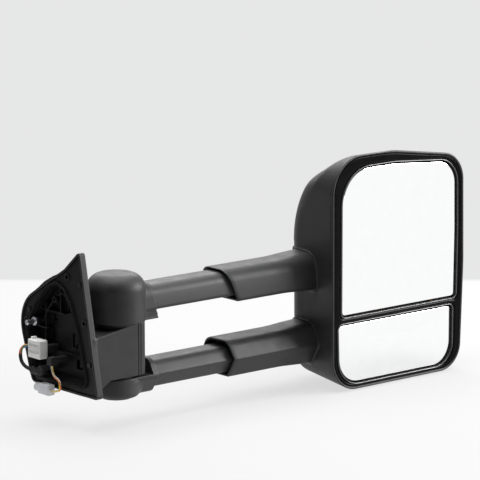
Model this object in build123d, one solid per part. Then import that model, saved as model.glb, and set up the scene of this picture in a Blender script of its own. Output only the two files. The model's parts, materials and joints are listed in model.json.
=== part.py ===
"""Extendable towing mirror, vehicle right-hand side, millimetres.

+X runs outboard from the door, +Y runs to the front of the vehicle, +Z is up.
The sizes below are laid out from the fold axis with X = 0 on the door face.
Every node is saved moved by ORIGIN, so that the middle of the locating stud's
free length is at (0, 0, 0).  The mirror is modelled at full extension.
"""
import os
from math import cos, radians, sin

from build123d import *

# ---------------------------------------------------------------- driving sizes
SAIL = [(-39, -71), (-7, 93), (21, 68.5), (111, 15), (82.5, -71)]
SAIL_R = [4, 3, 30, 42, 7]
POCKET = [(-19, -60), (-1, 1), (11, 28), (23, 44), (36, 50), (53, 42), (72, 22), (90, -9), (77, -60)]
POCKET_R = [8, 30, 20, 10, 9, 20, 20, 10, 8]
ORIGIN = (4.5, -77.0, 0.0)
SKIRT_X = (1.0, 10.0)
BRACKET_X = (3.0, 7.5)
FLOOR_X = 17.2
BULGE_X = 21.8
WALL = 2.5
GAP = 0.3
GROOVE = (0.6, 3.0)

INSERTS = [(17, 60), (93, -1.5), (-13.5, 12)]
STUD = (77, 0)
INSERT_R = 4.5
TAP_R = 2.5

PIVOT_X = 58.0
DOME_R = 34.5
DOME_Z = (6.8, 61.0)
DOME_EDGE = 16.0
BARREL_R = 22.0
PEDESTAL_X = 86.0
PEDESTAL_Y = 26.0
PEDESTAL_Z = (-55.0, -3.0)
PEDESTAL_TOP = 5.6
PEDESTAL_EDGE = 14.0
TUBE_R = 11.0
BUSH_R = 13.0
RUN_FIT = 0.05
ROOT_R = 27.0
ROOT_Z = (-81.0, -57.5)
SWEEP_X = 91.0
COLLAR_END = 100.0

UPPER_Z = 29.0
LOWER_Z = -59.5
ARM_Y = 2.0
UPPER_ROD = [(22.5, -14), (19, 14), (-19, 14), (-22.5, -14)]
UPPER_ROD_R = [4, 13, 13, 4]
LOWER_ROD = [(12, -15.5), (23, 1), (14, 15.5), (-14, 15.5), (-23, 1), (-12, -15.5)]
LOWER_ROD_R = [4, 2.5, 12, 12, 2.5, 4]
UPPER_SLEEVE = [(28, -20.5), (24, 17.8), (-24, 17.8), (-28, -20.5)]
UPPER_SLEEVE_R = [4.5, 16.5, 16.5, 4.5]
LOWER_SLEEVE = [(15, -22), (30.5, 1.5), (19, 22), (-19, 22), (-30.5, 1.5), (-15, -22)]
LOWER_SLEEVE_R = [4, 2.5, 15, 15, 2.5, 4]
ROD_WALL = 3.0
ROD_X = (84.0, 310.0)
SLEEVE_X = (203.0, 418.0)
MOUTH_SLANT = {UPPER_Z: 0.42, LOWER_Z: 0.1}
FLARE_X = (290.0, 352.0)
FLARE_GROW = 2.4
BUSH_X = (224.0, 236.0)

HEAD = [(333, -112), (541, -112), (545.5, 20), (543, 151), (425, 168), (331, 168)]
HEAD_R = [38, 32, 300, 36, 200, 46]
HEAD_Y = (-60.0, 37.0)
HEAD_TAPER = 7.0
HEAD_EDGE = 24.0
HEAD_CROWN = 110.0
HEAD_WALL = 3.0
GLASS = [(350, -21.5), (531.5, -21.5), (532.5, 60), (531, 142.5), (430, 150.5), (349.5, 150)]
GLASS_R = [4, 4, 300, 28, 200, 42]
SPOT = [(344.5, -34), (526, -34), (526, -103), (347, -103)]
SPOT_R = [4, 4, 26, 30]
GLASS_GAP = 2.6
BEZEL_Y = (-59.0, -55.0)
GLASS_Y = (-57.0, -54.8)
HEATER_Y = (-54.8, -54.2)
CARRIER_Y = (-54.2, -51.2)
FRAME_Y = (-30.0, -27.5)

MAIN_C = (441.0, 64.5)
SPOT_C = (435.0, -68.5)
AXIS_Y = -48.0
JACK_ARM = 28.0
ACT_X = (404.0, 490.0)
ACT_Z = (26.0, 114.0)
ACT_Y = (-42.5, -30.2)

LAMP_Y = (-24.0, 14.0)
LAMP_Z = (-64.0, 90.0)

CORD_X = -7.0
CORD_A = [(CORD_X, 71, -27), (CORD_X, 93, -27), (CORD_X, 93, -54), (CORD_X, 71, -54)]
CORD_A_R = 2.0
CORD_B = [(CORD_X, 34, -42), (CORD_X, 34, -53), (CORD_X, 19, -58), (CORD_X, 19, -71.5), (CORD_X, 36, -71.5)]
CORD_B_R = 1.5


# ---------------------------------------------------------------- helpers
def rounded(points, radii):
    """Closed outline with a fillet at each corner, in the XY plane."""
    return make_face(FilletPolyline(*points, radius=radii, close=True))


def on_x(face, x):
    """Lay a (Y, Z) outline on the plane at X = x."""
    return Plane(origin=(x, 0, 0), x_dir=(0, 1, 0), z_dir=(1, 0, 0)) * face


def on_y(face, y):
    """Lay an (X, Z) outline on the plane at Y = y."""
    return Plane(origin=(0, y, 0), x_dir=(1, 0, 0), z_dir=(0, -1, 0)) * face


def slab_x(face, x0, x1):
    return extrude(on_x(face, x0), amount=x1 - x0, dir=(1, 0, 0))


def slab_y(face, y0, y1, taper=0.0):
    return extrude(on_y(face, y0), amount=y1 - y0, dir=(0, 1, 0), taper=taper)


def box(x0, x1, y0, y1, z0, z1):
    centre = ((x0 + x1) / 2, (y0 + y1) / 2, (z0 + z1) / 2)
    return Pos(*centre) * Box(x1 - x0, y1 - y0, z1 - z0)


def rod_x(y, z, r, x0, x1):
    return Pos((x0 + x1) / 2, y, z) * Rot(0, 90, 0) * Cylinder(r, x1 - x0)


def rod_y(x, z, r, y0, y1):
    return Pos(x, (y0 + y1) / 2, z) * Rot(90, 0, 0) * Cylinder(r, y1 - y0)


def rod_z(x, y, r, z0, z1):
    return Pos(x, y, (z0 + z1) / 2) * Cylinder(r, z1 - z0)


def ring_z(x, y, r_in, r_out, z0, z1):
    return rod_z(x, y, r_out, z0, z1) - rod_z(x, y, r_in, z0 - 1, z1 + 1)


def section(points, radii, z, grow=0.0):
    """Arm cross-section about (ARM_Y, z), grown outward by `grow`."""
    face = rounded(points, radii)
    if grow:
        face = offset(face, amount=grow)
    return Pos(ARM_Y, z) * face


def save(name, shape):
    if isinstance(shape, (list, tuple)):
        shape = Compound(children=list(shape))
    shape = Pos(*ORIGIN) * shape
    shape.label = name
    export_step(shape, os.path.join("parts", name + ".step"))
    solids = shape.solids()
    volume = sum(s.volume for s in solids)
    print(f"{name:24s} solids {len(solids):2d}  volume {volume:10.1f}")


# ---------------------------------------------------------------- base
def sail(inset=0.0):
    face = rounded(SAIL, SAIL_R)
    return offset(face, amount=-inset) if inset else face


def bulge(grow, x0, x1, taper):
    """Raised centre of the base, a pocket outline grown and tapered outboard."""
    face = offset(rounded(POCKET, POCKET_R), amount=grow)
    return extrude(on_x(face, x0), amount=x1 - x0, dir=(1, 0, 0), taper=taper)


def gasket_band():
    """Seal line round the harness pocket, between two offsets of its outline."""
    pocket = rounded(POCKET, POCKET_R)
    band = offset(pocket, amount=GROOVE[1]) - offset(pocket, amount=GROOVE[0])
    for y, z in INSERTS:
        band -= Pos(y, z) * Circle(INSERT_R + 1.3)
    return band


def pedestal_block(inset):
    """Housing under the knuckle, with a top that climbs outboard."""
    z0 = PEDESTAL_Z[0] - 0.2 + inset
    z1 = PEDESTAL_TOP - inset
    x1 = PEDESTAL_X - inset
    y1 = PEDESTAL_Y - inset
    side = Polyline((7, z0 - 14), (30, z0), (x1, z0), (x1, z1), (66, z1), (7, z1 - 10.2), close=True)
    body = slab_y(make_face(side), -y1, y1)
    corners = body.edges().filter_by(Axis.Z).sort_by(Axis.X)[-2:]
    return fillet(corners, PEDESTAL_EDGE - inset)


def base_bracket():
    x0, x1 = BRACKET_X
    plate = slab_x(sail(WALL + GAP), x0, x1)
    plate += bulge(3, x0 + 1, FLOOR_X + 2.5, 8)
    plate += rod_z(PIVOT_X, 0, BARREL_R, *PEDESTAL_Z)
    plate += box(FLOOR_X, PIVOT_X, -16, 16, -46, -14)
    plate -= bulge(0, x0 - 1, FLOOR_X, 8)
    plate -= slab_x(gasket_band(), x0 - 1, x0 + 2)
    plate += rod_x(*STUD, 5.2, x0, FLOOR_X + 1)
    plate -= rod_z(PIVOT_X, 0, BUSH_R, -60, 20)
    for y, z in INSERTS:
        plate += rod_x(y, z, INSERT_R + 1.3, x1 - 1, x1)
        plate -= rod_x(y, z, INSERT_R, x0 - 1, x1 + 10)
    plate -= rod_x(*STUD, 3, x0 - 1, x0 + 10)
    for y, z in cover_screw_points():
        plate -= rod_x(y, z, 1.6, x0 - 1, x1 + 1)
    return plate


def cover_screw_points():
    return [(-6, 55), (-22, -34), (88, 12)]


def base_cover():
    x0, x1 = SKIRT_X
    outer = slab_x(sail(), x0, x1)
    outer = fillet(outer.faces().sort_by(Axis.X)[-1].edges(), 2.0)
    inner = slab_x(sail(WALL), x0 - 1, x1 - WALL)
    cover = outer + bulge(6, x1 - 3, BULGE_X, 16) + pedestal_block(0)
    cover -= inner
    cover -= bulge(3.3, BRACKET_X[0] + 1, FLOOR_X + 2.8, 8)
    cover -= pedestal_block(WALL)
    cover -= rod_z(PIVOT_X, 0, BARREL_R + GAP, -80, 10)
    cover -= box(FLOOR_X, PIVOT_X, -16.3, 16.3, -46.3, -13.7)
    for y, z in cover_screw_points():
        cover -= rod_x(y, z, 1.6, x0, x1 - 0.8)
    return cover


def cover_screws():
    x0, x1 = BRACKET_X[0], SKIRT_X[1] - 0.8
    return [rod_x(y, z, 1.6, x0, x1) + rod_x(y, z, 3, x0 - 1.4, x0) for y, z in cover_screw_points()]


def base_gasket():
    return slab_x(gasket_band(), 0.0, BRACKET_X[0] + 2)


def mount_inserts():
    x0 = BRACKET_X[0]
    solids = []
    for y, z in INSERTS:
        body = rod_x(y, z, INSERT_R, x0 - 1, BRACKET_X[1])
        solids.append(body - rod_x(y, z, TAP_R, x0 - 3, BRACKET_X[1] - 0.8))
    return solids


def locating_stud():
    x0 = BRACKET_X[0]
    stud = rod_x(*STUD, 3, -10, x0 + 10) + rod_x(*STUD, 5, x0 - 2, x0)
    return chamfer(stud.faces().sort_by(Axis.X)[0].edges(), 0.8)


def pivot_bushing():
    return ring_z(PIVOT_X, 0, TUBE_R + RUN_FIT, BUSH_R, *PEDESTAL_Z)


def detent_ring_fixed():
    z0 = PEDESTAL_Z[1]
    ring = ring_z(PIVOT_X, 0, BUSH_R, 21, z0, z0 + 6)
    for i in range(12):
        groove = Pos(0, 0, z0 + 6) * Rot(0, 90, 0) * Cylinder(1.2, 60)
        ring -= Pos(PIVOT_X, 0, 0) * Rot(0, 0, 15 + 30 * i) * Pos(40, 0, 0) * groove
    return ring


# ---------------------------------------------------------------- harness
def cord(points, r):
    """Plain tube along straight runs joined by tangent arcs."""
    radii = cord_radii(points)
    print("   cord radii", radii)
    path = FilletPolyline(*points, radius=radii)
    start = path.edges()[0]
    plane = Plane(origin=start @ 0, z_dir=start % 0)
    return sweep(plane * Circle(r), path=path), path.length


def cord_radii(points):
    radii = []
    for a, b, c in zip(points, points[1:], points[2:]):
        v1 = Vector(*b) - Vector(*a)
        v2 = Vector(*c) - Vector(*b)
        half = radians(v1.get_angle(v2) / 2)
        radii.append(round(0.45 * min(v1.length, v2.length) * cos(half) / sin(half), 3))
    return radii


def harness_boot_a():
    x = CORD_X
    sleeve = rod_y(x, -54, 4.5, 53, 71)
    neck = box(x - 3, FLOOR_X, 49, 57, -52, -46)
    return sleeve + neck + box(x - 3, x + 3, 49, 57, -56, -50)


def harness_boot_b():
    x = CORD_X
    head = box(x - 4, x + 5, 30, 38, -42, -33)
    neck = box(x, FLOOR_X, 31, 37, -40, -34)
    return head + neck


def connector_white():
    x = CORD_X
    body = box(x - 6, x + 6, 49, 71, -38, -17)
    body = fillet(body.edges().filter_by(Axis.Y), 1.2)
    for row in range(2):
        for col in range(6):
            y = 50.6 + 3.2 * col
            z = -32.6 + 7.2 * row
            body -= box(x - 7, x - 2, y, y + 2.0, z, z + 4.0)
    body += box(x - 3, x + 3, 65, 69, -17, -14.5)
    clip = box(x + 6, FLOOR_X, 51, 60, -33, -24)
    return body + clip


def connector_silver():
    x = CORD_X
    body = box(x - 5, x + 5, 36, 54, -77.5, -65.5)
    body = fillet(body.edges().filter_by(Axis.Y), 1.5)
    nose = rod_y(x, -71.5, 5, 54, 62) - rod_y(x, -71.5, 3.8, 56, 63)
    return body + nose


# ---------------------------------------------------------------- knuckle
def pivot_tube():
    z0, z1 = ROOT_Z[0] + 1, 47.0
    tube = ring_z(PIVOT_X, 0, 7.5, TUBE_R, z0, z1)
    flange = ring_z(PIVOT_X, 0, 7.5, 17.5, z0, z0 + 3)
    return tube + flange


def arm_casting_upper():
    body = rod_z(PIVOT_X, 0, DOME_R - 3, DOME_Z[0] + 0.5, 48)
    body += slab_x(section(UPPER_ROD, UPPER_ROD_R, UPPER_Z, 2.6), PIVOT_X + 10, COLLAR_END - 3)
    body -= rod_z(PIVOT_X, 0, 21.5, 0, 14)
    body -= rod_z(PIVOT_X, 0, 21.5, 22, 60)
    body -= rod_z(PIVOT_X, 0, TUBE_R, 0, 60)
    body -= slab_x(section(UPPER_ROD, UPPER_ROD_R, UPPER_Z), ROD_X[0], 130)
    return body


def arm_casting_lower():
    z0, z1 = ROOT_Z
    z_rod = LOWER_Z - 1
    body = rod_z(PIVOT_X, 0, ROOT_R, z0, z1)
    body = fillet(body.faces().sort_by(Axis.Z)[0].edges(), 6)
    grown = section(LOWER_ROD, LOWER_ROD_R, z_rod, 4.5)
    body += slab_x(grown, PIVOT_X, SWEEP_X) & box(0, 200, -60, 60, z0, z1)
    body += slab_x(grown, SWEEP_X, COLLAR_END) & box(0, 200, -60, 60, z0, 0)
    body -= rod_z(PIVOT_X, 0, TUBE_R, -100, 0)
    body -= rod_z(PIVOT_X, 0, 18, -100, z0 + 4)
    body -= slab_x(section(LOWER_ROD, LOWER_ROD_R, z_rod), SWEEP_X + 2, 130)
    return body + slab_x(section(LOWER_ROD, LOWER_ROD_R, z_rod, -ROD_WALL), SWEEP_X, 124)


def knuckle_cover():
    z0, z1 = DOME_Z
    dome = rod_z(PIVOT_X, 0, DOME_R, z0, z1)
    dome = fillet(dome.faces().sort_by(Axis.Z)[-1].edges(), DOME_EDGE)
    collar = slab_x(section(UPPER_ROD, UPPER_ROD_R, UPPER_Z, 5.2), PIVOT_X, COLLAR_END)
    collar += box(PIVOT_X, COLLAR_END, ARM_Y - 26.5, ARM_Y + 26.5, z0, z0 + 7)
    inner = rod_z(PIVOT_X, 0, DOME_R - 3, z0 - 1, z1 - 11)
    throat = slab_x(section(UPPER_ROD, UPPER_ROD_R, UPPER_Z, 2.6), PIVOT_X, COLLAR_END - 3)
    rod = slab_x(section(UPPER_ROD, UPPER_ROD_R, UPPER_Z), PIVOT_X, COLLAR_END + 1)
    return dome + collar - inner - throat - rod


def detent_ring_moving():
    ring = ring_z(PIVOT_X, 0, TUBE_R + GAP, 21, 6, 14)
    for x, y in ball_points():
        ring -= Pos(x, y, 6.3) * Sphere(3.0)
        ring -= rod_z(x, y, 3.0, 0, 6.3)
    return ring


def ball_points():
    angles = [radians(45 + 90 * i) for i in range(4)]
    return [(PIVOT_X + 16.5 * cos(a), 16.5 * sin(a)) for a in angles]


def detent_balls():
    return [Pos(x, y, 6.3) * Sphere(2.9) for x, y in ball_points()]


def spring_washers():
    washers = []
    for i in range(5):
        z = 22.0 + 2.6 * i
        profile = Polyline((11.4, z), (19.0, z + 1.0), (19.0, z + 2.2), (11.4, z + 1.2), close=True)
        face = Plane.XZ * make_face(profile)
        washers.append(Pos(PIVOT_X, 0, 0) * revolve(face, Axis.Z))
    return washers


def spring_seat():
    return ring_z(PIVOT_X, 0, TUBE_R + 0.2, 19, 35.2, 37.5)


def pivot_nut():
    hexagon = extrude(Pos(PIVOT_X, 0, 37.5) * RegularPolygon(19.5, 6), amount=8)
    return hexagon - rod_z(PIVOT_X, 0, TUBE_R, 30, 60)


def thrust_washer():
    return ring_z(PIVOT_X, 0, TUBE_R + 0.2, 21, ROOT_Z[1], PEDESTAL_Z[0] - 0.4)


def lower_cap():
    return rod_z(PIVOT_X, 0, 17.8, ROOT_Z[0] - 1.5, ROOT_Z[0] + 1)


# ---------------------------------------------------------------- telescopic arms
def arm_rod(points, radii, z, x0):
    solid = slab_x(section(points, radii, z), x0, ROD_X[1])
    return solid - slab_x(section(points, radii, z, -ROD_WALL), x0 - 1, ROD_X[1] + 1)


def rod_screw_points():
    return [(90.0, UPPER_Z - 3), (97.0, UPPER_Z - 3), (96.5, LOWER_Z - 4)]


def rod_screws():
    screws = []
    for x, z in rod_screw_points():
        shank = rod_y(x, z, 2.0, ARM_Y + 15, ARM_Y + 26)
        head = rod_y(x, z, 3.6, ARM_Y + 26, ARM_Y + 29)
        screws.append(shank + head)
    return screws


def cut_screws(body):
    for x, z in rod_screw_points():
        body -= rod_y(x, z, 2.0, ARM_Y + 14, ARM_Y + 26)
        body -= rod_y(x, z, 3.6, ARM_Y + 26, ARM_Y + 40)
    return body


def rod_shoe(points, radii, z):
    x1 = ROD_X[1]
    collar = slab_x(section(points, radii, z, 0.6), x1, x1 + 3)
    plug = slab_x(section(points, radii, z, -ROD_WALL), x1 - 10, x1)
    passage = slab_x(section(points, radii, z, -ROD_WALL - 2.5), x1 - 11, x1 + 4)
    return collar + plug - passage


def sleeve(points, radii, z):
    solid = slab_x(section(points, radii, z), *SLEEVE_X)
    near = on_x(section(points, radii, z), FLARE_X[0])
    far = on_x(section(points, radii, z, FLARE_GROW), FLARE_X[1])
    solid += loft([near.face(), far.face()])
    bore = slab_x(section(points, radii, z, -ROD_WALL), SLEEVE_X[0] - 1, SLEEVE_X[1] + 1)
    return solid - bore - mouth_wedge(z)


def mouth_wedge(z):
    """Waste in front of the slanted mouth of the sleeve at height z."""
    x0, slant = SLEEVE_X[0], MOUTH_SLANT[z]
    side = Polyline((x0 - 9, z + 30), (x0, z + 30), (x0 + 60 * slant, z - 30), (x0 - 9, z - 30), close=True)
    return slab_y(make_face(side), -50, 50)


def sleeve_blank(points, radii, z):
    solid = slab_x(section(points, radii, z), *SLEEVE_X)
    near = on_x(section(points, radii, z), FLARE_X[0])
    far = on_x(section(points, radii, z, FLARE_GROW), FLARE_X[1])
    return solid + loft([near.face(), far.face()])


def bush(rod, rod_r, rod_z0, outer, outer_r, outer_z0):
    body = slab_x(section(outer, outer_r, outer_z0, -ROD_WALL), *BUSH_X)
    return body - slab_x(section(rod, rod_r, rod_z0, GAP), BUSH_X[0] - 1, BUSH_X[1] + 1)


# ---------------------------------------------------------------- head
def head_solid(inset):
    """Tapered head block with a rounded front edge, shrunk by `inset`."""
    face = rounded(HEAD, HEAD_R)
    if inset:
        face = offset(face, amount=-inset)
    y0 = HEAD_Y[0] - (1 if inset else 0)
    body = slab_y(face, y0, HEAD_Y[1] - inset, taper=HEAD_TAPER)
    front = body.faces().sort_by(Axis.Y)[-1]
    body = fillet(front.edges(), HEAD_EDGE - inset)
    low, high = HEAD[0][1] - 9, HEAD[4][1] - inset
    back = HEAD_Y[1] - inset + 0.01
    corners = [(-90, low), (back, low), (back, high), (-90, high)]
    return body & slab_x(rounded(corners, [1, 1, HEAD_CROWN - inset, 1]), 300, 600)


def front_band(z0, z1):
    band = box(352, 500, 20, HEAD_Y[1] + 3, z0, z1)
    return chamfer(band.faces().sort_by(Axis.Y)[-1].edges(), 2.5)


def lamp_window(clear):
    return box(515, 560, LAMP_Y[0] - clear, LAMP_Y[1] + clear, LAMP_Z[0] - clear, LAMP_Z[1] + clear)


def head_shell():
    outer = head_solid(0)
    outer += front_band(UPPER_Z - 19, UPPER_Z + 19)
    outer += front_band(LOWER_Z - 21, LOWER_Z + 21)
    body = outer - head_solid(HEAD_WALL)
    body -= sleeve_blank(UPPER_SLEEVE, UPPER_SLEEVE_R, UPPER_Z)
    body -= sleeve_blank(LOWER_SLEEVE, LOWER_SLEEVE_R, LOWER_Z)
    return body - lamp_window(GAP)


def indicator_lens():
    return (head_solid(0) - head_solid(HEAD_WALL)) & lamp_window(0)


def lamp_housing():
    y0, y1 = LAMP_Y
    z0, z1 = LAMP_Z
    body = box(508, 528, y0 + 3, y1 - 3, z0 + 3, z1 - 3)
    return body - box(510.5, 529, y0 + 5.5, y1 - 5.5, z0 + 5.5, z1 - 5.5)


def led_board():
    return box(510.5, 512, LAMP_Y[0] + 6, LAMP_Y[1] - 6, LAMP_Z[0] + 6, LAMP_Z[1] - 6)


def leds():
    y = sum(LAMP_Y) / 2
    zs = [80 - 13 * i for i in range(6)] + [-8 - 13 * i for i in range(4)]
    return [box(512, 514.5, y - 2.5, y + 2.5, z - 2.5, z + 2.5) for z in zs]


def bezel():
    outline = offset(rounded(HEAD, HEAD_R), amount=-HEAD_WALL - 0.3)
    main = offset(rounded(GLASS, GLASS_R), amount=GLASS_GAP)
    spot = offset(rounded(SPOT, SPOT_R), amount=GLASS_GAP)
    body = slab_y(outline - main - spot, *BEZEL_Y)
    inner = offset(outline, amount=-2.2)
    body += slab_y(offset(outline, amount=-0.4) - inner, BEZEL_Y[1], -47)
    body += box(345, 530, BEZEL_Y[1], -50, -31.0, -24.6) & slab_y(inner, -60, -40)
    return body & head_solid(HEAD_WALL)


def head_frame():
    outline = offset(rounded(HEAD, HEAD_R), amount=-10)
    body = slab_y(outline, *FRAME_Y)
    windows = [(360, 396, 60, 140), (402, 500, 120, 148), (494, 528, -10, 112), (360, 500, -28, 16)]
    for x0, x1, z0, z1 in windows:
        body -= box(x0, x1, -40, -20, z0, z1)
    for x, z in ((MAIN_C[0], MAIN_C[1] + JACK_ARM), (MAIN_C[0] + JACK_ARM, MAIN_C[1])):
        body -= rod_y(x, z, 4.5, -40, -20)
    for z in (UPPER_Z, LOWER_Z):
        for x in (366, 410):
            body += box(x - 4, x + 4, FRAME_Y[1] - 0.5, ARM_Y - 20, z - 6, z + 6)
    body -= sleeve_blank(UPPER_SLEEVE, UPPER_SLEEVE_R, UPPER_Z)
    body -= sleeve_blank(LOWER_SLEEVE, LOWER_SLEEVE_R, LOWER_Z)
    return body & head_solid(HEAD_WALL + 2)


def frame_screws():
    return [rod_y(x, z, 2.2, -34, FRAME_Y[0]) for x, z in ((372, 40), (372, -64), (512, -20), (512, 118))]


# ---------------------------------------------------------------- actuator
def jack_points():
    x, z = MAIN_C
    return {"tilt": (x, z + JACK_ARM), "pan": (x + JACK_ARM, z)}


WORM_OFFSET = 12.4
WORM_Y = -36.2


def actuator_housing():
    body = box(*ACT_X, ACT_Y[0] + 1.5, ACT_Y[1], *ACT_Z)
    body = fillet(body.edges().filter_by(Axis.Y), 6)
    body -= box(ACT_X[0] + 2, ACT_X[1] - 2, ACT_Y[0], ACT_Y[1] - 1.5, ACT_Z[0] + 2, ACT_Z[1] - 2)
    for x, z in jack_points().values():
        body -= rod_y(x, z, 4.5, -50, -20)
    return body


def ears_x(c, y0, y1):
    x, z = c
    pair = box(x - 12, x - 9, y0, y1, z - 3, z + 3) + box(x + 9, x + 12, y0, y1, z - 3, z + 3)
    return pair - rod_x(AXIS_Y, z, 1.57, x - 20, x + 20)


def ears_z(c, y0, y1):
    x, z = c
    pair = box(x - 3, x + 3, y0, y1, z - 12, z - 9) + box(x - 3, x + 3, y0, y1, z + 9, z + 12)
    return pair - rod_z(x, AXIS_Y, 1.57, z - 20, z + 20)


def actuator_cover():
    plate = box(*ACT_X, ACT_Y[0], ACT_Y[0] + 1.5, *ACT_Z)
    plate = fillet(plate.edges().filter_by(Axis.Y), 6)
    for x, z in jack_points().values():
        plate -= rod_y(x, z, 4.5, -50, -20)
    return plate + ears_x(MAIN_C, -50.2, ACT_Y[0] + 0.5)


def gimbal(c):
    x, z = c
    core = box(x - 3, x + 3, AXIS_Y - 2.5, AXIS_Y + 2.5, z - 3, z + 3)
    cross = rod_x(AXIS_Y, z, 1.5, x - 12, x + 12) + rod_z(x, AXIS_Y, 1.5, z - 12, z + 12)
    return core + cross


def carrier(outline, c):
    body = slab_y(outline, *CARRIER_Y)
    body -= rod_y(*c, 16, -60, -40)
    x, z = c
    bridge = box(x - 4, x + 4, CARRIER_Y[0], -52.4, z - 17, z + 17)
    body += bridge
    return body + ears_z(c, -52.8, -45.6)


def jackscrew(c):
    ball = Pos(c[0], -46.9, c[1]) * Sphere(3.5)
    return ball + rod_y(*c, 2.5, -46.9, -31.6)


def gear(c):
    body = rod_y(*c, 9, -38, -34.4) - rod_y(*c, 3.0, -40, -30)
    for i in range(24):
        tooth = Pos(9.2, 0, 0) * Box(1.2, 5, 0.9)
        body -= Pos(c[0], -36.2, c[1]) * Rot(0, 15 * i, 0) * tooth
    return body


def worm(name):
    x, z = jack_points()[name]
    if name == "tilt":
        return rod_x(WORM_Y, z + WORM_OFFSET, 2.9, x - 8, x + 8)
    return rod_z(x + WORM_OFFSET, WORM_Y, 2.9, z - 8, z + 8)


def motors():
    xt, zt = jack_points()["tilt"]
    xp, zp = jack_points()["pan"]
    return [
        rod_x(WORM_Y, zt + WORM_OFFSET - 1.2, 4.2, xt - 32, xt - 9),
        rod_z(xp + WORM_OFFSET - 0.6, WORM_Y, 4.2, zp - 35, zp - 9),
    ]


def spotter_mount():
    x, z = SPOT_C
    post = box(x - 16, x + 16, ACT_Y[0], FRAME_Y[0], z - 12, z + 12)
    post = fillet(post.edges().filter_by(Axis.Y), 4)
    return post + ears_x(SPOT_C, -50.2, ACT_Y[0] + 0.5)


# ---------------------------------------------------------------- output
def main():
    os.makedirs("parts", exist_ok=True)
    save("base_bracket", base_bracket())
    save("base_cover", base_cover())
    save("base_gasket", base_gasket())
    save("mount_inserts", mount_inserts())
    save("locating_stud", locating_stud())
    save("cover_screws", cover_screws())
    save("pivot_bushing", pivot_bushing())
    save("detent_ring_fixed", detent_ring_fixed())
    save("harness_boot_a", harness_boot_a())
    save("harness_boot_b", harness_boot_b())
    save("connector_white", connector_white())
    save("connector_silver", connector_silver())
    for name, points, r in (("wires_a", CORD_A, CORD_A_R), ("wires_b", CORD_B, CORD_B_R)):
        solid, length = cord(points, r)
        print(f"   {name} length {length:.2f} section x length {length * 3.14159265 * r * r:.1f}")
        save(name, solid)

    save("arm_casting_upper", cut_screws(arm_casting_upper()))
    save("arm_casting_lower", cut_screws(arm_casting_lower()))
    save("knuckle_cover", cut_screws(knuckle_cover()))
    save("pivot_tube", pivot_tube())
    save("detent_ring_moving", detent_ring_moving())
    save("detent_balls", detent_balls())
    save("spring_washers", spring_washers())
    save("spring_seat", spring_seat())
    save("pivot_nut", pivot_nut())
    save("thrust_washer", thrust_washer())
    save("lower_cap", lower_cap())
    save("upper_rod", cut_screws(arm_rod(UPPER_ROD, UPPER_ROD_R, UPPER_Z, ROD_X[0])))
    save("lower_rod", cut_screws(arm_rod(LOWER_ROD, LOWER_ROD_R, LOWER_Z - 1, SWEEP_X + 2)))
    save("rod_screws", rod_screws())
    save("upper_rod_shoe", rod_shoe(UPPER_ROD, UPPER_ROD_R, UPPER_Z))
    save("lower_rod_shoe", rod_shoe(LOWER_ROD, LOWER_ROD_R, LOWER_Z - 1))

    save("upper_sleeve", sleeve(UPPER_SLEEVE, UPPER_SLEEVE_R, UPPER_Z))
    save("lower_sleeve", sleeve(LOWER_SLEEVE, LOWER_SLEEVE_R, LOWER_Z))
    upper = (UPPER_ROD, UPPER_ROD_R, UPPER_Z, UPPER_SLEEVE, UPPER_SLEEVE_R, UPPER_Z)
    lower = (LOWER_ROD, LOWER_ROD_R, LOWER_Z - 1, LOWER_SLEEVE, LOWER_SLEEVE_R, LOWER_Z)
    save("upper_bush", bush(*upper))
    save("lower_bush", bush(*lower))
    save("head_shell", head_shell())
    save("head_frame", head_frame())
    save("frame_screws", frame_screws())
    save("bezel", bezel())
    save("indicator_lens", indicator_lens())
    save("lamp_housing", lamp_housing())
    save("led_board", led_board())
    save("leds", leds())

    save("actuator_housing", actuator_housing())
    save("actuator_cover", actuator_cover())
    save("motors", motors())
    for name, c in jack_points().items():
        save("jackscrew_" + name, jackscrew(c))
        save("gear_" + name, gear(c))
        save("worm_" + name, worm(name))
    save("main_gimbal", gimbal(MAIN_C))
    save("main_carrier", carrier(offset(rounded(GLASS, GLASS_R), amount=-0.6), MAIN_C))
    save("heater_pad", slab_y(offset(rounded(GLASS, GLASS_R), amount=-4), *HEATER_Y))
    save("main_glass", slab_y(rounded(GLASS, GLASS_R), *GLASS_Y))
    save("spotter_mount", spotter_mount())
    save("spotter_gimbal", gimbal(SPOT_C))
    save("spotter_carrier", carrier(offset(rounded(SPOT, SPOT_R), amount=-0.6), SPOT_C))
    save("spotter_glass", slab_y(rounded(SPOT, SPOT_R), GLASS_Y[0], HEATER_Y[1]))


main()
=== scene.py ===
"""Looks of an extendable towing mirror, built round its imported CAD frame.

Shapes are laid out in millimetres from the fold axis with X = 0 on the door face,
like the CAD source, and moved by ORIGIN into the frame when a mesh is made.
"""
import json
import math

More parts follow.
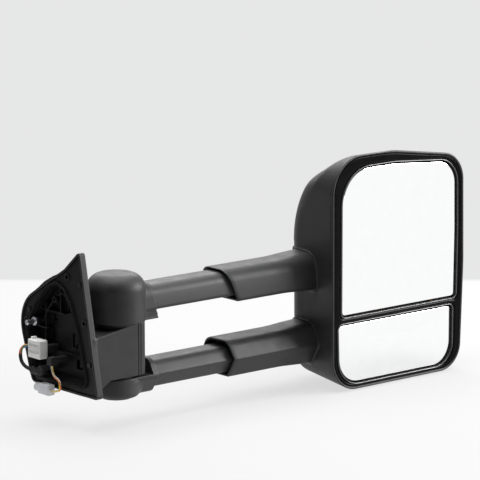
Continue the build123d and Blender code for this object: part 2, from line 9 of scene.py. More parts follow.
import bmesh
import bpy
import numpy as np
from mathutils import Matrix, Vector


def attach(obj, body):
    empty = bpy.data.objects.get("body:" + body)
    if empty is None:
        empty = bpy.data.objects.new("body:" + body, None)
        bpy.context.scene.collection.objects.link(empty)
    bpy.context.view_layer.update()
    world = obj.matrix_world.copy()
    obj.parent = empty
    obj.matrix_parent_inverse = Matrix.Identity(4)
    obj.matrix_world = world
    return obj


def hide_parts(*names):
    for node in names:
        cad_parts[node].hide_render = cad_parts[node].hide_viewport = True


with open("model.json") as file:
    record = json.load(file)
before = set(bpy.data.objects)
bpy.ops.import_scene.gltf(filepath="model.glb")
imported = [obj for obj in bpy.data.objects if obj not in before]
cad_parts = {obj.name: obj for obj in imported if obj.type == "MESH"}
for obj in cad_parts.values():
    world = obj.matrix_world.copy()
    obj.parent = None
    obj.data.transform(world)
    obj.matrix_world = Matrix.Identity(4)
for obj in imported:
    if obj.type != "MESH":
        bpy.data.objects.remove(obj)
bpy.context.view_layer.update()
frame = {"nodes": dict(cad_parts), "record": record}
NODES = frame["nodes"]
ORIGIN = np.array((4.5, -77.0, 0.0))

# ---------------------------------------------------------------- sizes
# As in the CAD, except HEAD_TOP, the level that the head's outline is cut to so that it stays in the CAD box.
SAIL = [(-39, -71), (-7, 93), (21, 68.5), (111, 15), (82.5, -71)]
SAIL_R = [4, 3, 30, 42, 7]
POCKET = [(-19, -60), (-1, 1), (11, 28), (23, 44), (36, 50), (53, 42), (72, 22), (90, -9), (77, -60)]
POCKET_R = [8, 30, 20, 10, 9, 20, 20, 10, 8]
INSERTS = [(17, 60), (93, -1.5), (-13.5, 12)]
COVER_SCREWS = [(-6, 55), (-22, -34), (88, 12)]
STUD = (77.0, 0.0)
PIVOT_X = 58.0
ARM_Y, UPPER_Z, LOWER_Z = 2.0, 29.0, -59.5
UPPER_ROD = [(22.5, -14), (19, 14), (-19, 14), (-22.5, -14)]
UPPER_ROD_R = [4, 13, 13, 4]
LOWER_ROD = [(12, -15.5), (23, 1), (14, 15.5), (-14, 15.5), (-23, 1), (-12, -15.5)]
LOWER_ROD_R = [4, 2.5, 12, 12, 2.5, 4]
UPPER_SLEEVE = [(28, -20.5), (24, 17.8), (-24, 17.8), (-28, -20.5)]
UPPER_SLEEVE_R = [4.5, 16.5, 16.5, 4.5]
LOWER_SLEEVE = [(15, -22), (30.5, 1.5), (19, 22), (-19, 22), (-30.5, 1.5), (-15, -22)]
LOWER_SLEEVE_R = [4, 2.5, 15, 15, 2.5, 4]
HEAD = [(333, -112), (541, -112), (545.5, 20), (543, 151), (425, 168), (331, 168)]
HEAD_R = [38, 32, 300, 36, 200, 46]
GLASS = [(350, -21.5), (531.5, -21.5), (532.5, 60), (531, 142.5), (430, 150.5), (349.5, 150)]
GLASS_R = [4, 4, 300, 28, 200, 42]
SPOT = [(344.5, -34), (526, -34), (526, -103), (347, -103)]
SPOT_R = [4, 4, 26, 30]
TAPER = math.tan(math.radians(7))
HEAD_TOP = 167.1
LAMP_Y, LAMP_Z = (-24.0, 14.0), (-64.0, 90.0)
FLUTE_PITCH = 6.0


# ---------------------------------------------------------------- outlines
class Outline:
    """Polygon with rounded corners: offset rings and a signed distance lookup."""

    def __init__(self, points, radii, shift=(0.0, 0.0), per_corner=9):
        pts = np.array(points, float) + np.array(shift)
        area = np.sum(pts[:, 0] * np.roll(pts[:, 1], -1) - np.roll(pts[:, 0], -1) * pts[:, 1])
        radii = list(radii)
        if area < 0:
            pts, radii = pts[::-1], radii[::-1]
        self.corners = []
        for i, r in enumerate(radii):
            a, b, c = pts[i - 1], pts[i], pts[(i + 1) % len(pts)]
            u, w = (b - a) / np.linalg.norm(b - a), (c - b) / np.linalg.norm(c - b)
            turn = math.atan2(u[0] * w[1] - u[1] * w[0], u @ w)
            side = 1.0 if turn >= 0 else -1.0
            start = b - u * r * math.tan(abs(turn) / 2)
            centre = start + side * r * np.array((-u[1], u[0]))
            first = math.atan2(*(start - centre)[::-1])
            self.corners.append((centre, r, side, first, turn))
        self.per_corner = per_corner
        self.poly = self.ring(0.0)
        self.centre = self.poly.mean(0)
        self.table = None

    def ring(self, grow):
        out = []
        for centre, r, side, first, turn in self.corners:
            radius = max(r + side * grow, 0.05)
            for k in range(self.per_corner):
                a = first + turn * k / (self.per_corner - 1)
                out.append(centre + radius * np.array((math.cos(a), math.sin(a))))
        return np.array(out)

    def sd(self, u, v):
        if self.table is None:
            self.low = self.poly.min(0) - 30.0
            count = np.ceil((self.poly.max(0) + 30.0 - self.low)).astype(int) + 2
            gu, gv = np.meshgrid(np.arange(count[0]), np.arange(count[1]), indexing="ij")
            q = np.column_stack((gu.ravel(), gv.ravel())) + self.low
            self.table = polygon_distance(q, self.poly).reshape(count)
        fu = np.clip(u - self.low[0], 0, self.table.shape[0] - 1.001)
        fv = np.clip(v - self.low[1], 0, self.table.shape[1] - 1.001)
        beyond = np.hypot(u - self.low[0] - fu, v - self.low[1] - fv)
        i, j = fu.astype(int), fv.astype(int)
        s, t = fu - i, fv - j
        tab = self.table
        lower = tab[i, j] * (1 - s) + tab[i + 1, j] * s
        upper = tab[i, j + 1] * (1 - s) + tab[i + 1, j + 1] * s
        return lower * (1 - t) + upper * t + beyond


def polygon_distance(q, poly):
    best = np.full(len(q), 1e12)
    inside = np.zeros(len(q), bool)
    for p0, p1 in zip(poly, np.roll(poly, -1, 0)):
        e, w = p1 - p0, q - p0
        if e @ e < 1e-12:
            continue
        t = np.clip((w @ e) / (e @ e), 0, 1)
        d = w - t[:, None] * e
        best = np.minimum(best, (d * d).sum(1))
        if e[1]:
            crosses = (p0[1] <= q[:, 1]) != (p1[1] <= q[:, 1])
            inside ^= crosses & (q[:, 0] < p0[0] + w[:, 1] * e[0] / e[1])
    return np.sqrt(best) * np.where(inside, -1.0, 1.0)


# ---------------------------------------------------------------- distance shapes
def smin(a, b, k):
    h = np.maximum(k - np.abs(a - b), 0.0) / k
    return np.minimum(a, b) - h * h * k * 0.25


def smax(a, b, k):
    return -smin(-a, -b, k)


def round_max(a, b, e):
    """Intersection of two half spaces with a rounded edge of radius e."""
    qa, qb = a + e, b + e
    return np.minimum(np.maximum(qa, qb), 0.0) + np.hypot(np.maximum(qa, 0), np.maximum(qb, 0)) - e


def step(a, b, x):
    t = np.clip((x - a) / (b - a), 0, 1)
    return t * t * (3 - 2 * t)


def sd_box(p, x0, x1, y0, y1, z0, z1, r=0.5):
    q = [np.abs(p[:, i] - (a + b) / 2) - (b - a) / 2 + r
         for i, (a, b) in enumerate(((x0, x1), (y0, y1), (z0, z1)))]
    out = np.sqrt(sum(np.maximum(c, 0) ** 2 for c in q))
    return out + np.minimum(np.maximum(np.maximum(q[0], q[1]), q[2]), 0) - r


def disc_x(p, y, z, r, x0, x1, e=0.3):
    wall = np.hypot(p[:, 1] - y, p[:, 2] - z) - r
    return round_max(wall, np.abs(p[:, 0] - (x0 + x1) / 2) - (x1 - x0) / 2, e)


def disc_z(p, x, y, r, z0, z1, e=0.3):
    wall = np.hypot(p[:, 0] - x, p[:, 1] - y) - r
    return round_max(wall, np.abs(p[:, 2] - (z0 + z1) / 2) - (z1 - z0) / 2, e)


def gradient(shape, p, e):
    g = np.empty_like(p)
    for i in range(3):
        s = np.zeros(3)
        s[i] = e
        g[:, i] = (shape(p + s) - shape(p - s)) / (2 * e)
    return g


def surface_nets(shape, low, high, h):
    """Quads on shape = 0 inside a box, one point per grid cell, pulled onto the surface."""
    low = np.array(low, float)
    n = np.ceil((np.array(high, float) - low) / h).astype(int) + 1
    ax = [low[i] + h * np.arange(n[i]) for i in range(3)]
    yy, zz = np.meshgrid(ax[1], ax[2], indexing="ij")
    flat = np.column_stack((np.zeros(yy.size), yy.ravel(), zz.ravel()))
    d = np.empty(tuple(n), np.float32)
    for i, x in enumerate(ax[0]):
        flat[:, 0] = x
        d[i] = shape(flat).reshape(n[1], n[2])
    s = d < 0
    count = np.zeros(tuple(n - 1), np.int8)
    for a in (0, 1):
        for b in (0, 1):
            for c in (0, 1):
                count += s[a:n[0] - 1 + a, b:n[1] - 1 + b, c:n[2] - 1 + c]
    cell = np.argwhere((count > 0) & (count < 8))
    ids = np.full(tuple(n - 1), -1, np.int32)
    ids[tuple(cell.T)] = np.arange(len(cell))
    pos = np.zeros((len(cell), 3))
    hits = np.zeros(len(cell))
    for axis in range(3):
        for u in (0, 1):
            for v in (0, 1):
                a = np.zeros(3, int)
                a[(axis + 1) % 3], a[(axis + 2) % 3] = u, v
                b = a.copy()
                b[axis] = 1
                da = d[tuple((cell + a).T)].astype(float)
                db = d[tuple((cell + b).T)].astype(float)
                hit = (da < 0) != (db < 0)
                t = np.where(hit, da / np.where(hit, da - db, 1.0), 0.0)
                q = np.repeat(a[None].astype(float), len(cell), 0)
                q[:, axis] = t
                pos += q * hit[:, None]
                hits += hit
    p = low + h * (cell + pos / hits[:, None])
    for _ in range(3):
        g = gradient(shape, p, 0.25 * h)
        move = g * (shape(p) / np.maximum((g * g).sum(1), 0.2))[:, None]
        size = np.linalg.norm(move, axis=1, keepdims=True)
        p = p - move * np.minimum(1.0, 0.5 * h / np.maximum(size, 1e-9))
    g = gradient(shape, p, 0.3 * h)
    normals = g / np.maximum(np.linalg.norm(g, axis=1, keepdims=True), 1e-9)
    quads = []
    for axis in range(3):
        u, v = (axis + 1) % 3, (axis + 2) % 3
        lower, upper = [slice(1, -1)] * 3, [slice(1, -1)] * 3
        lower[axis], upper[axis] = slice(0, -1), slice(1, None)
        inner, outer = s[tuple(lower)], s[tuple(upper)]
        at = np.argwhere(inner != outer)
        filled = inner[tuple(at.T)]
        at[:, u] += 1
        at[:, v] += 1
        eu, ev = np.eye(3, dtype=int)[u], np.eye(3, dtype=int)[v]
        quad = np.column_stack([ids[tuple(c.T)] for c in (at - eu - ev, at - ev, at, at - eu)])
        quad[~filled] = quad[~filled][:, ::-1]
        quads.append(quad)
    return p, np.vstack(quads), normals


# ---------------------------------------------------------------- mesh helpers
def piece(name, verts, faces, body, material, normals=None, sharp=None, node=()):
    mesh = bpy.data.meshes.new(name)
    metres = (np.asarray(verts) + ORIGIN) * 0.001
    mesh.from_pydata(metres.tolist(), [], [list(map(int, f)) for f in faces])
    mesh.validate()
    mesh.shade_smooth()
    if normals is not None:
        mesh.normals_split_custom_set_from_vertices(normals.tolist())
    elif sharp:
        mesh.set_sharp_from_angle(angle=math.radians(sharp))
    obj = bpy.data.objects.new(name, mesh)
    bpy.context.collection.objects.link(obj)
    mesh.materials.append(material)
    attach(obj, body)
    if node:
        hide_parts(*node)
    return obj


def solid(name, shape, low, high, h, body, material, node=()):
    p, quads, normals = surface_nets(shape, low, high, h)
    return piece(name, p, quads, body, material, normals=normals, node=node)


def rings_mesh(rings, last_cap=False, closed=False):
    """Joins rings of equal count with quads; rings run so that quads face outward."""
    n = len(rings[0])
    verts = np.vstack(rings)
    faces = []
    pairs = list(range(len(rings) - 1)) + ([len(rings) - 1] if closed else [])
    for k in pairs:
        a, b = k * n, ((k + 1) % len(rings)) * n
        for i in range(n):
            j = (i + 1) % n
            faces.append((a + i, a + j, b + j, b + i))
    if last_cap:
        faces.append(tuple(range((len(rings) - 1) * n, len(rings) * n)))
    return verts, faces


def rings_x(outline, profile):
    """Profile of (grow, x) pairs swept round a (Y, Z) outline."""
    return [np.column_stack((np.full(len(outline.poly), x), outline.ring(g))) for g, x in profile]


def rings_y(outline, profile):
    """Profile of (grow, y) pairs swept round an (X, Z) outline."""
    rings = []
    for g, y in profile:
        r = outline.ring(g)
        rings.append(np.column_stack((r[:, 0], np.full(len(r), y), r[:, 1])))
    return rings


def refined(node, name, body, material, bevel=0.4, segments=2, angle=30):
    """A CAD part's mesh with merged faces and softly rounded edges."""
    mesh = NODES[node].data.copy()
    mesh.name = name
    obj = bpy.data.objects.new(name, mesh)
    bpy.context.collection.objects.link(obj)
    bm = bmesh.new()
    bm.from_mesh(mesh)
    bmesh.ops.remove_doubles(bm, verts=bm.verts, dist=1e-6)
    bmesh.ops.dissolve_limit(bm, angle_limit=math.radians(1.0), verts=bm.verts, edges=bm.edges)
    bm.to_mesh(mesh)
    bm.free()
    mod = obj.modifiers.new("edges", "BEVEL")
    mod.width = bevel * 0.001
    mod.segments = segments
    mod.limit_method = "ANGLE"
    mod.angle_limit = math.radians(angle)
    deps = bpy.context.evaluated_depsgraph_get()
    done = bpy.data.meshes.new_from_object(obj.evaluated_get(deps))
    obj.modifiers.clear()
    obj.data = done
    done.shade_smooth()
    done.set_sharp_from_angle(angle=math.radians(40))
    done.materials.clear()
    done.materials.append(material)
    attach(obj, body)
    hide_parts(node)
    return obj


# ---------------------------------------------------------------- materials
def grey(v):
    return (v, v * 1.005, v * 1.015)


def make_material(name, colour, rough, metallic=0.0, tint=0.10, tint_scale=60.0, rough_vary=0.06,
                  grain=(), specular=0.5, brushed=None, coat=0.0, transmission=0.0, ior=1.5,
                  emission=None):
    """Principled material whose colour, roughness and relief come from procedural textures."""
    mat = bpy.data.materials.new(name)
    mat.use_nodes = True
    tree = mat.node_tree
    new, link = tree.nodes.new, tree.links.new
    shader = tree.nodes["Principled BSDF"]
    coord = new("ShaderNodeTexCoord")
    where = coord.outputs["Object"]
    if brushed:
        stretch = new("ShaderNodeMapping")
        stretch.inputs["Scale"].default_value = brushed
        link(where, stretch.inputs["Vector"])
        where = stretch.outputs["Vector"]
    cloud = new("ShaderNodeTexNoise")
    cloud.inputs["Scale"].default_value = tint_scale
    cloud.inputs["Detail"].default_value = 5.0
    link(where, cloud.inputs["Vector"])
    ramp = new("ShaderNodeValToRGB")
    ramp.color_ramp.elements[0].position = 0.3
    ramp.color_ramp.elements[1].position = 0.7
    ramp.color_ramp.elements[0].color = tuple(c * (1 - tint) for c in colour) + (1.0,)
    ramp.color_ramp.elements[1].color = tuple(min(c * (1 + tint), 1.0) for c in colour) + (1.0,)
    link(cloud.outputs["Fac"], ramp.inputs["Fac"])
    link(ramp.outputs["Color"], shader.inputs["Base Color"])
    spread = new("ShaderNodeMapRange")
    spread.inputs["From Min"].default_value = 0.3
    spread.inputs["From Max"].default_value = 0.7
    spread.inputs["To Min"].default_value = max(rough - rough_vary, 0.0)
    spread.inputs["To Max"].default_value = min(rough + rough_vary, 1.0)
    link(cloud.outputs["Fac"], spread.inputs["Value"])
    link(spread.outputs["Result"], shader.inputs["Roughness"])
    shader.inputs["Metallic"].default_value = metallic
    shader.inputs["Specular IOR Level"].default_value = specular
    shader.inputs["Coat Weight"].default_value = coat
    shader.inputs["Transmission Weight"].default_value = transmission
    shader.inputs["IOR"].default_value = ior
    if emission:
        shader.inputs["Emission Color"].default_value = emission[0] + (1.0,)
        shader.inputs["Emission Strength"].default_value = emission[1]
    last = None
    for kind, scale, strength, depth in grain:
        if kind == "cells":
            tex = new("ShaderNodeTexVoronoi")
            tex.feature = "SMOOTH_F1"
            tex.inputs["Scale"].default_value = scale
            height = tex.outputs["Distance"]
        else:
            tex = new("ShaderNodeTexNoise")
            tex.inputs["Scale"].default_value = scale
            tex.inputs["Detail"].default_value = 3.0
            height = tex.outputs["Fac"]
        link(where, tex.inputs["Vector"])
        bump = new("ShaderNodeBump")
        bump.inputs["Strength"].default_value = strength
        bump.inputs["Distance"].default_value = depth
        link(height, bump.inputs["Height"])
        if last:
            link(last, bump.inputs["Normal"])
        last = bump.outputs["Normal"]
    if last:
        link(last, shader.inputs["Normal"])
    return mat


LEATHER = (("cells", 820.0, 0.35, 0.00025), ("noise", 2600.0, 0.25, 0.00012))
FINE = (("noise", 1800.0, 0.30, 0.00012),)
CAST = (("noise", 900.0, 0.35, 0.0003), ("noise", 4000.0, 0.3, 0.0001))

LOOKS = {
    "grained_plastic": dict(colour=grey(0.022), rough=0.48, grain=LEATHER, tint=0.12, specular=0.26),
    # Inner plastic is a black plastic made darker than the cover plastic so the door-side bracket and barrel
    # look shaded: partly its own colour, partly painted shade.
    "inner_plastic": dict(colour=grey(0.009), rough=0.45, grain=FINE, tint=0.2, specular=0.18),
    "foam": dict(colour=grey(0.012), rough=0.95, grain=(("cells", 1500.0, 0.8, 0.0006),), specular=0.2),
    "zinc_steel": dict(colour=(0.62, 0.63, 0.66), rough=0.28, metallic=1.0, tint=0.12, grain=FINE),
    "bright_steel": dict(colour=(0.8, 0.8, 0.8), rough=0.18, metallic=1.0, tint=0.05, grain=FINE),
    "spring_steel": dict(colour=(0.22, 0.22, 0.24), rough=0.35, metallic=1.0, tint=0.2, grain=FINE),
    "black_screw": dict(colour=grey(0.02), rough=0.35, metallic=0.6, tint=0.2, grain=FINE),
    "bearing_plastic": dict(colour=grey(0.03), rough=0.45, tint=0.1, grain=FINE),
    "rubber_black": dict(colour=grey(0.014), rough=0.7, grain=(("noise", 1500.0, 0.5, 0.0002),)),
    "white_nylon": dict(colour=(0.86, 0.86, 0.84), rough=0.42, tint=0.04, grain=FINE),
    "grey_nylon": dict(colour=(0.66, 0.67, 0.70), rough=0.35, tint=0.06, grain=FINE),
    "wire_jacket": dict(colour=grey(0.02), rough=0.5, grain=(("noise", 1200.0, 0.6, 0.0003),)),
    "die_cast": dict(colour=(0.5, 0.5, 0.52), rough=0.5, metallic=1.0, tint=0.15, grain=CAST),
    "cast_black": dict(colour=grey(0.028), rough=0.46, grain=CAST, tint=0.10, specular=0.30),
    "bezel_black": dict(colour=grey(0.002), rough=0.22, grain=FINE, tint=0.15, specular=0.05),
    "bezel_edge": dict(colour=grey(0.05), rough=0.16, grain=FINE, tint=0.1, specular=0.8),
    # Dark edge faces of both glasses: painted shade, a dark line round each glass where the bevel would catch
    # the top light.
    "glass_edge_shade": dict(colour=grey(0.008), rough=0.5, grain=FINE, tint=0.1, specular=0.2),
    "head_rim": dict(colour=grey(0.022), rough=0.45, grain=FINE, tint=0.1, specular=0.3),
    "amber_lens": dict(colour=(0.95, 0.33, 0.02), rough=0.12, tint=0.06, transmission=0.75, ior=1.49,
                       coat=0.5, grain=(("noise", 500.0, 0.1, 0.0002),)),
    "led_amber": dict(colour=(1.0, 0.72, 0.2), rough=0.3, tint=0.1, emission=((1.0, 0.5, 0.08), 0.6)),
    "board": dict(colour=(0.55, 0.42, 0.12), rough=0.5, tint=0.2, tint_scale=400.0, grain=FINE),
    "mirror": dict(colour=(0.95, 0.955, 0.96), rough=0.025, metallic=1.0, tint=0.01, rough_vary=0.01),
    "brass": dict(colour=(0.75, 0.55, 0.22), rough=0.28, metallic=1.0, tint=0.08, grain=FINE),
}
M = {name: make_material(name, **look) for name, look in LOOKS.items()}
WIRE_COLOURS = {
    "orange": (0.75, 0.22, 0.04),
    "yellow": (0.8, 0.6, 0.06),
    "white": (0.75, 0.75, 0.72),
    "green": (0.04, 0.22, 0.12),
    "pink": (0.6, 0.12, 0.2),
    "violet": (0.08, 0.06, 0.35),
}
WIRE = {name: make_material("wire_" + name, colour, 0.38, tint=0.08, grain=(("noise", 900.0, 0.2, 0.0001),))
        for name, colour in WIRE_COLOURS.items()}
TAPE = make_material("cloth_tape", grey(0.012), 0.75, grain=(("noise", 2500.0, 0.8, 0.0004),))

# ---------------------------------------------------------------- outlines in use
SAIL_O = Outline(SAIL, SAIL_R)
POCKET_O = Outline(POCKET, POCKET_R)
HEAD_O = Outline(HEAD, HEAD_R, per_corner=15)
GLASS_O = Outline(GLASS, GLASS_R, per_corner=13)
SPOT_O = Outline(SPOT, SPOT_R, per_corner=13)
UP_ROD = Outline(UPPER_ROD, UPPER_ROD_R, (ARM_Y, UPPER_Z))
LOW_ROD = Outline(LOWER_ROD, LOWER_ROD_R, (ARM_Y, LOWER_Z - 1))
UP_SLV = Outline(UPPER_SLEEVE, UPPER_SLEEVE_R, (ARM_Y, UPPER_Z))
LOW_SLV = Outline(LOWER_SLEEVE, LOWER_SLEEVE_R, (ARM_Y, LOWER_Z))


# ---------------------------------------------------------------- head
def head_outer(p):
    """Outside of the head: tapered sides, a crowned front and two bands in line with the arms."""
    x, y, z = p[:, 0], p[:, 1], p[:, 2]
    side = (HEAD_O.sd(x, z) + (y + 60) * TAPER) * math.cos(math.radians(7))
    front = np.where(z > 58, np.hypot(np.maximum(y + 73, 0), z - 58) - 110.6, y - 37)
    d = round_max(side, np.minimum(front, 40), 1 + 26 * step(-56, -10, y))
    for zc, half in ((UPPER_Z, 19), (LOWER_Z, 20)):
        top = 39.7 - 3.4 * step(430, 505, x)
        band = round_max(round_max(np.abs(z - zc) - half, y - top, 2.5), 354 - x, 6)
        band = np.maximum(band, np.maximum(x - 520, -y))
        d = smin(d, np.maximum(band, side + 2), 3.0)
    return np.maximum(d, z - HEAD_TOP)


def head_shell(p):
    """Hollow shell with a collar and a passage for each sleeve, and a window for the lamp."""
    x, y, z = p[:, 0], p[:, 1], p[:, 2]
    outer = head_outer(p)
    for o in (UP_SLV, LOW_SLV):
        collar = round_max(o.sd(y, z) - 4.4, outer - 1.6, 1.3)
        outer = smin(outer, np.maximum(collar, x - 372), 2.0)
    d = np.maximum(outer, -(outer + 3))
    for o in (UP_SLV, LOW_SLV):
        d = np.maximum(d, -np.maximum(o.sd(y, z) + 1.0, x - 425))
    window = sd_box(p, 515, 560, LAMP_Y[0] - 0.3, LAMP_Y[1] + 0.3, LAMP_Z[0] - 0.3, LAMP_Z[1] + 0.3, 4)
    return np.maximum(smax(d, -window, 0.8), -56.4 - y)


def build_head():
    solid("head_shell_skin", head_shell, (326, -58, -115), (549, 43, 171), 1.5,
          "head", M["grained_plastic"], node=["head_shell"])
    profile = [(-3.0, -56.4), (-3.0, -58.7), (-2.7, -59.4), (-2.0, -59.95), (-1.3, -60.0),
               (-0.5, -59.75), (-0.12, -59.2), (-0.2, -58.2), (-0.44, -56.2)]
    verts, faces = rings_mesh(rings_y(HEAD_O, profile))
    verts[:, 2] = np.minimum(verts[:, 2], HEAD_TOP + 0.05)
    piece("head_rim", verts, faces, "head", M["head_rim"], sharp=50)
    solid("bezel_frame", bezel, (329, -61, -113), (547, -46, 169), 1.1, "head",
          M["bezel_black"], node=["bezel"])
    solid("indicator_lens_skin", lens, (515, -26, -66), (549, 16, 92), 0.8, "head",
          M["amber_lens"], node=["indicator_lens"])


def bezel(p):
    """Sloped frame round both glasses."""
    x, y, z = p[:, 0], p[:, 1], p[:, 2]
    head, opening = HEAD_O.sd(x, z), np.minimum(GLASS_O.sd(x, z), SPOT_O.sd(x, z)) - 3.1
    sloped = y + 59 - 1.6 * step(5.0, -0.5, opening)
    frame_plan = np.maximum(head + 3.3 + (y + 60) * TAPER, -opening)
    return round_max(round_max(frame_plan, -sloped, 1.3), y + 55, 0.4)


def lens(p):
    """Amber cover over the lamp, with shallow flutes inside that fade out at both ends."""
    z = p[:, 2]
    outer = head_outer(p)
    window = sd_box(p, 505, 570, LAMP_Y[0], LAMP_Y[1], LAMP_Z[0], LAMP_Z[1], 4)
    flutes = 0.35 * np.cos(z * 2 * math.pi / FLUTE_PITCH) * step(LAMP_Z[0], LAMP_Z[0] + 8, z)
    flutes = flutes * step(LAMP_Z[1], LAMP_Z[1] - 8, z)
    return smax(np.maximum(outer + 0.1, -(outer + 2.4 + flutes)), window, 0.8)


def build_lips():
    """Raised polished beads that frame each glass."""
    profile = [(2.4, -48.5), (2.4, -58.7), (2.5, -59.2), (2.9, -59.4), (3.4, -59.2),
               (3.65, -58.7), (3.65, -48.5)]
    for name, o in (("main_bead", GLASS_O), ("spotter_bead", SPOT_O)):
        verts, faces = rings_mesh(rings_y(o, profile), closed=True)
        piece(name, verts, faces, "head", M["bezel_edge"], sharp=70)


def build_glass():
    """Flat main glass and convex spotter glass, with their edge faces painted dark: a painted shade line
    round each glass.
    """
    edge = [(0.0, -54.9), (0.0, -56.35), (-0.25, -56.8), (-0.9, -57.0)]
    verts, faces = rings_mesh(rings_y(GLASS_O, edge)[::-1])
    n = len(GLASS_O.poly)
    faces.append(tuple(range(n)))
    faces.append(tuple(range(len(verts) - 1, len(verts) - n - 1, -1)))
    plate = piece("main_glass_plate", verts, [f[::-1] for f in faces], "main_mirror",
                  M["mirror"], sharp=12, node=["main_glass"])
    rings = rings_y(SPOT_O, [(0.0, -54.3), (0.0, -56.35), (-0.25, -56.7), (-0.9, -56.9)])
    last = rings[-1]
    middle = np.array((*SPOT_O.centre, 0.0))[[0, 2, 1]]
    for s in np.linspace(0.93, 0.03, 14):
        ring = last.copy()
        ring[:, 0] = middle[0] + (last[:, 0] - middle[0]) * s
        ring[:, 2] = middle[2] + (last[:, 2] - middle[2]) * s
        ring[:, 1] = -56.9 - 2.2 * (1 - s * s)
        rings.append(ring)
    verts, faces = rings_mesh(rings, last_cap=True)
    convex = piece("spotter_glass_convex", verts, faces, "spotter_mirror",
                   M["mirror"], sharp=20, node=["spotter_glass"])
    for obj in (plate, convex):
        # Edge faces get the dark edge material: painted shade round the glass.
        obj.data.materials.append(M["glass_edge_shade"])
        for face in obj.data.polygons:
            face.material_index = 1 if abs(face.normal.y) < 0.9 else 0


# ---------------------------------------------------------------- arms
def build_arms():
    """Sleeves whose mouths are cut on a slant and roots flare, and the rods inside them."""
    sleeves = (("upper_sleeve", UP_SLV, UPPER_Z, 197, 0.42), ("lower_sleeve", LOW_SLV, LOWER_Z, 206.5, 0.1))
    for node, o, zc, top, slant in sleeves:
        profile = [(-3.0, 236), (-3.0, 206.3), (-2.6, 205.5), (-1.9, 205.05), (-1.1, 205.05), (-0.35, 205.5),
                   (0.0, 206.6), (0.0, 212), (0.0, 235), (0.0, 260), (0.05, 284)]
        for x in np.linspace(290, 338, 11):
            profile.append((2.4 * float(step(284, 340, x)), float(x)))
        profile += [(2.4, 345), (2.4, 352)]
        rings = rings_x(o, profile)
        for ring in rings:
            mouth = top + (30 - (ring[:, 2] - zc)) * slant
            ring[:, 0] += (mouth - 205) * np.clip((250 - ring[:, 0]) / 45, 0, 1)
        verts, faces = rings_mesh(rings)
        piece(node + "_skin", verts, faces, "head", M["grained_plastic"], sharp=40,
              node=[node])
    for node, o, x0 in (("upper_rod", UP_ROD, 84), ("lower_rod", LOW_ROD, 93)):
        profile = [(0.0, x0), (0.0, 120), (0.0, 160), (0.0, 204), (0.0, 240), (0.0, 308.5), (-0.5, 309.7),
                   (-1.2, 310), (-3.0, 310), (-3.0, x0)]
        verts, faces = rings_mesh(rings_x(o, profile), closed=True)
        piece(node + "_tube", verts, faces, "arm", M["cast_black"], sharp=40, node=[node])


def knuckle(p):
    """Dome over the pivot with a collar round the upper rod, hollow underneath."""
    x, y, z = p[:, 0], p[:, 1], p[:, 2]
    r = np.hypot(x - PIVOT_X, y)
    dome = round_max(r - 34.5 + 0.02 * (z - 7), z - 61 + 1.4 * (r / 34) ** 2, 17)
    section = np.minimum(UP_ROD.sd(y, z) - 5.2, np.maximum(np.abs(y - ARM_Y) - 27.2, z - 15))
    lip = np.clip(1 - (z - 6.8) / 3.0, 0, 1)
    end = x - (100 - 0.2 * np.clip(z - 11, 0, 40)) + 1.3 - 1.3 * lip
    collar = round_max(section - 0.5 * lip, end, 1.2)
    d = smin(dome, np.maximum(collar, PIVOT_X - x), 0.9)
    d = smax(d, 6.8 - z, 1.2)
    return np.maximum(d, -disc_z(p, PIVOT_X, 0, 31, -10, 49, 4))


def root(p):
    """Lower casting: a drum under the pivot and the root of the lower rod."""
    x, y, z = p[:, 0], p[:, 1], p[:, 2]
    r = np.hypot(x - PIVOT_X, y)
    drum = round_max(r - 27, -81 - z, 7)
    drum = round_max(drum, z + 57.5, 1.0)
    arm = round_max(LOW_ROD.sd(y, z) - 4.5, x - 100, 1.5)
    top = z + 57.5 - 18 * step(91.5, 93.5, x)
    arm = np.maximum(np.maximum(arm, PIVOT_X - x), np.maximum(top, -81 - z))
    d = smin(drum, arm, 4.0 * step(-59, -64, z) + 0.05)
    return np.maximum(d, -disc_z(p, PIVOT_X, 0, 18, -90, -77, 0.3))


def build_knuckle():
    solid("knuckle_cover_skin", knuckle, (21, -37, 4), (103, 37, 63), 0.9, "arm",
          M["grained_plastic"], node=["knuckle_cover"])
    solid("lower_casting_skin", root, (29, -31, -84), (103, 33, -36), 0.9, "arm",
          M["cast_black"], node=["arm_casting_lower"])


# ---------------------------------------------------------------- base
def pedestal(p, inset):
    """Housing under the knuckle, shrunk by inset for its hollow; two grooves mark its outside."""
    x, y, z = p[:, 0], p[:, 1], p[:, 2]
    plan = round_max(x - 86 + inset, np.abs(y) - 26 + inset, 14 - inset)
    if not inset:
        grooves = [0.8 * np.exp(-((x - centre) / 0.9) ** 2) for centre in (69.0, 72.6)]
        plan = plan + np.maximum(*grooves)
    top = z - 5.6 + inset + 10.2 * (1 - np.clip((x - 7) / 59, 0, 1))
    d = round_max(plan, top, 1.6)
    return round_max(d, -55.2 + inset - z - 14 * (1 - np.clip((x - 7) / 23, 0, 1)), 1.0)


